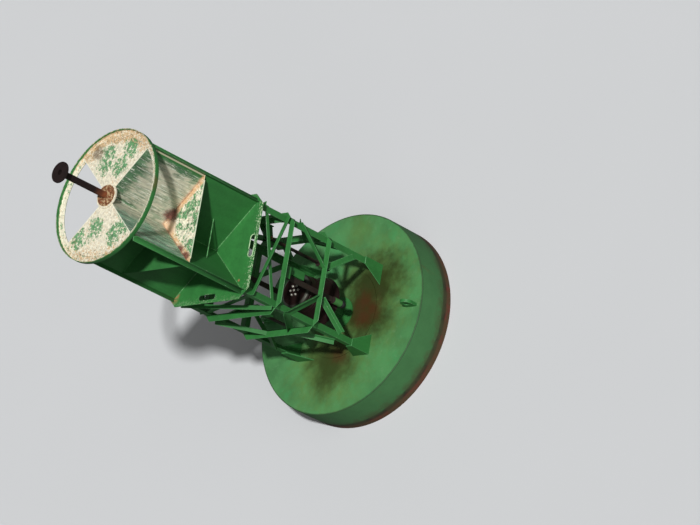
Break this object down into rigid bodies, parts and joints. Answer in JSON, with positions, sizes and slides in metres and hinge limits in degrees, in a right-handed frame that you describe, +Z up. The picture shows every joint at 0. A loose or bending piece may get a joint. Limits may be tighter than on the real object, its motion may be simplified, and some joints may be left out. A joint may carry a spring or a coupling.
{
  "type": "lighted bell buoy",
  "caption": "Steel channel buoy with a skeleton tower, radar reflector, light post, bell and swinging clappers.",
  "frame": {"origin": "on the vertical axis of the hull, at the waterline", "axes": "+Z up the axis towards the lantern flange; the solid top sectors lie along +X and -X, the open ones along +Y and -Y"},
  "size_m": [2.438, 2.438, 8.651],
  "materials": {
    "hull_paint": "green sea paint above the water, red-brown bottom paint below",
    "deck_paint": "worn green paint with rust stains",
    "tower_paint": "satin green paint",
    "faded_paint": "sun-bleached paint with green remains and rust",
    "ring_paint": "green paint, bleached on the inside",
    "bottom_paint": "matt red-brown bottom paint",
    "rusty_steel": "bare rusty steel",
    "bell_metal": "dark weathered bronze",
    "clapper_steel": "green weight, rusty bar, black ball"
  },
  "bodies": {
    "buoy": {"hull_body": "hull_paint", "deck_plate": "deck_paint", "deck_doubler": "deck_paint", "tail_tube": "bottom_paint", "counterweight": "bottom_paint", "lifting_lugs": "tower_paint", "mooring_lugs": "bottom_paint", "bell_stand": "tower_paint", "bell": "bell_metal", "legs": "tower_paint", "foot_gussets": "tower_paint", "horizontals_low": "tower_paint", "horizontals_high": "tower_paint", "cross_braces_outer": "tower_paint", "cross_braces_inner": "tower_paint", "fork_braces_high": "tower_paint", "fork_braces_low": "tower_paint", "reflector_floor": "tower_paint", "reflector_middle": "faded_paint", "radial_plates_low": "tower_paint", "radial_plates_high": "faded_paint", "corner_rods": "tower_paint", "top_sectors": "faded_paint", "top_ring": "ring_paint", "hub_disc": "faded_paint", "post_flange": "rusty_steel", "light_post": "rusty_steel", "lantern_flange": "rusty_steel", "clapper_brackets": "tower_paint", "clapper_pins": "rusty_steel"},
    "south_clapper": {"clapper_south": "clapper_steel"},
    "east_clapper": {"clapper_east": "clapper_steel"},
    "north_clapper": {"clapper_north": "clapper_steel"},
    "west_clapper": {"clapper_west": "clapper_steel"}
  },
  "joints": [
    {"name": "south_swing", "type": "hinge", "parent": "buoy", "child": "south_clapper", "pos_m": [-0.075, -0.405, 1.92], "axis": [-1, 0, 0], "range_deg": [-4.5, 11.5]},
    {"name": "east_swing", "type": "hinge", "parent": "buoy", "child": "east_clapper", "pos_m": [0.405, -0.075, 1.92], "axis": [0, -1, 0], "range_deg": [-4.5, 11.5]},
    {"name": "north_swing", "type": "hinge", "parent": "buoy", "child": "north_clapper", "pos_m": [0.075, 0.405, 1.92], "axis": [1, 0, 0], "range_deg": [-4.5, 11.5]},
    {"name": "west_swing", "type": "hinge", "parent": "buoy", "child": "west_clapper", "pos_m": [-0.405, 0.075, 1.92], "axis": [0, 1, 0], "range_deg": [-4.5, 11.5]}
  ]
}
